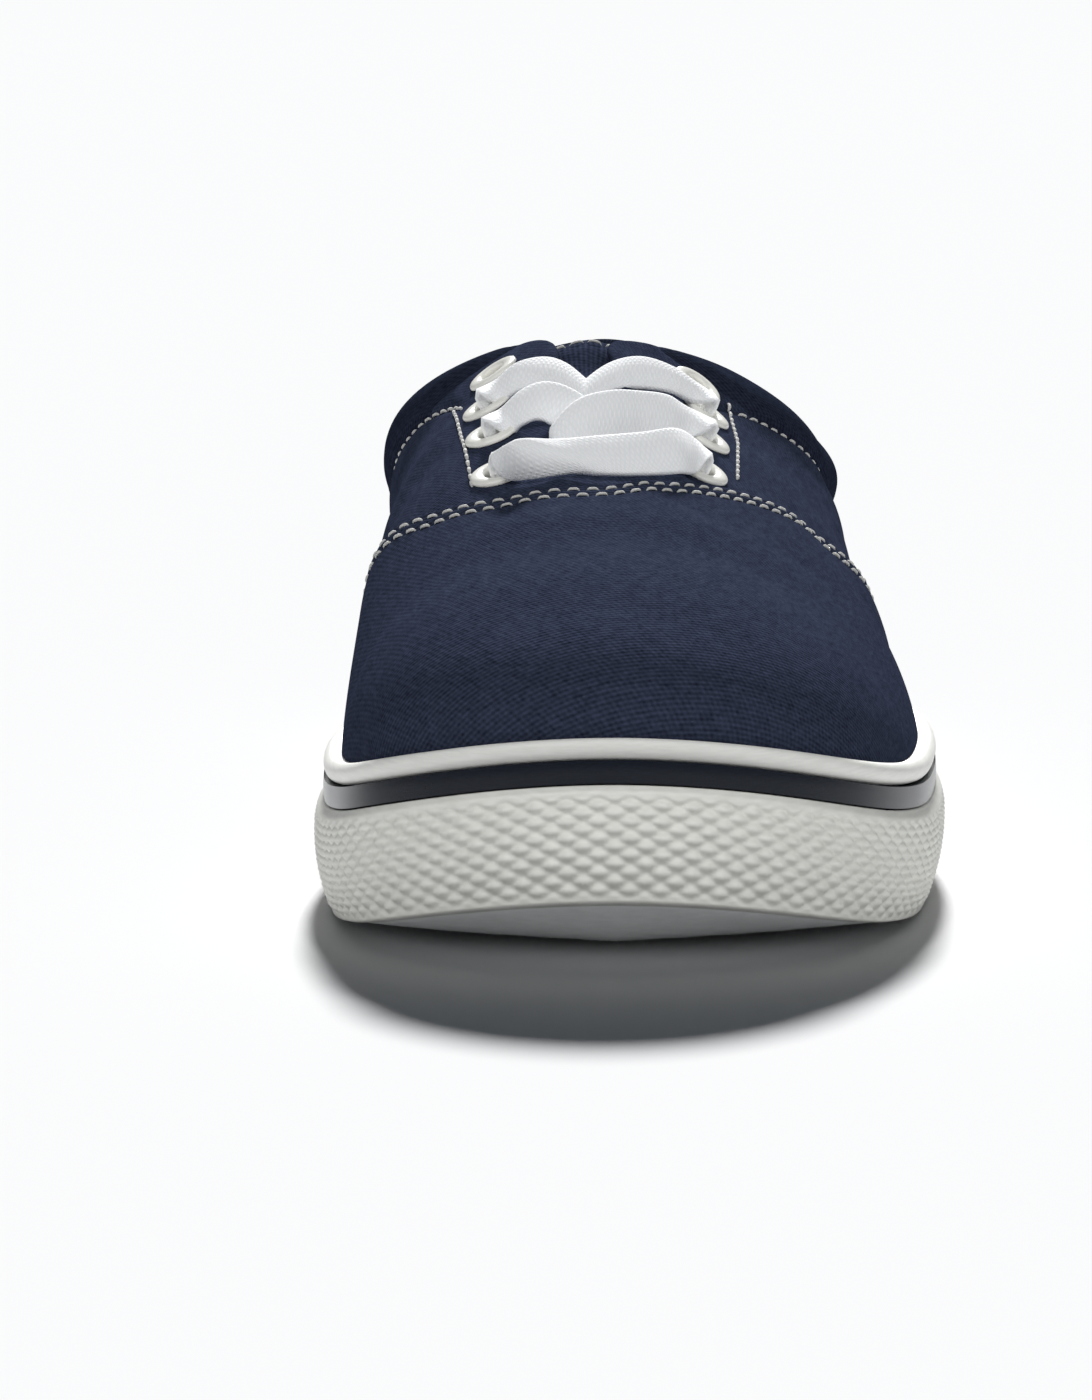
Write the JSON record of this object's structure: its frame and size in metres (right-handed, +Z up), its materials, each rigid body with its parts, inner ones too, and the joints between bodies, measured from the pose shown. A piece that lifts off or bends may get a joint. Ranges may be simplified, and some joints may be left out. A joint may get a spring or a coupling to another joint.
{
  "type": "canvas sneaker",
  "caption": "Low-top canvas sneaker, left foot, with a padded collar, painted eyelets, flat laces and a textured cup sole with a raised bead and stripe.",
  "frame": {"origin": "centre of the footprint, on the surface that the sole stands on", "axes": "+Y from the toe to the heel, +Z up, +X to the outer side of this left shoe"},
  "size_m": [0.107, 0.296, 0.0899],
  "materials": {
    "band_rubber": "matte moulded off-white",
    "stripe_rubber": "glossy",
    "bead_rubber": "satin white",
    "canvas": "navy twill",
    "lining": "grey-brown cotton drill",
    "eyelet_paint": "ivory enamel",
    "lace_cotton": "flat woven white cotton"
  },
  "bodies": {
    "root": {"outsole": "band_rubber", "sole_stripe": "stripe_rubber", "sole_bead": "bead_rubber", "insole": "lining", "upper": "canvas", "tongue": "canvas", "eyelet_medial_1": "eyelet_paint", "eyelet_medial_2": "eyelet_paint", "eyelet_medial_3": "eyelet_paint", "eyelet_medial_4": "eyelet_paint", "eyelet_lateral_1": "eyelet_paint", "eyelet_lateral_2": "eyelet_paint", "eyelet_lateral_3": "eyelet_paint", "eyelet_lateral_4": "eyelet_paint", "lace_bar": "lace_cotton", "lace_cross_lower": "lace_cotton", "lace_cross_upper": "lace_cotton"}
  },
  "joints": []
}
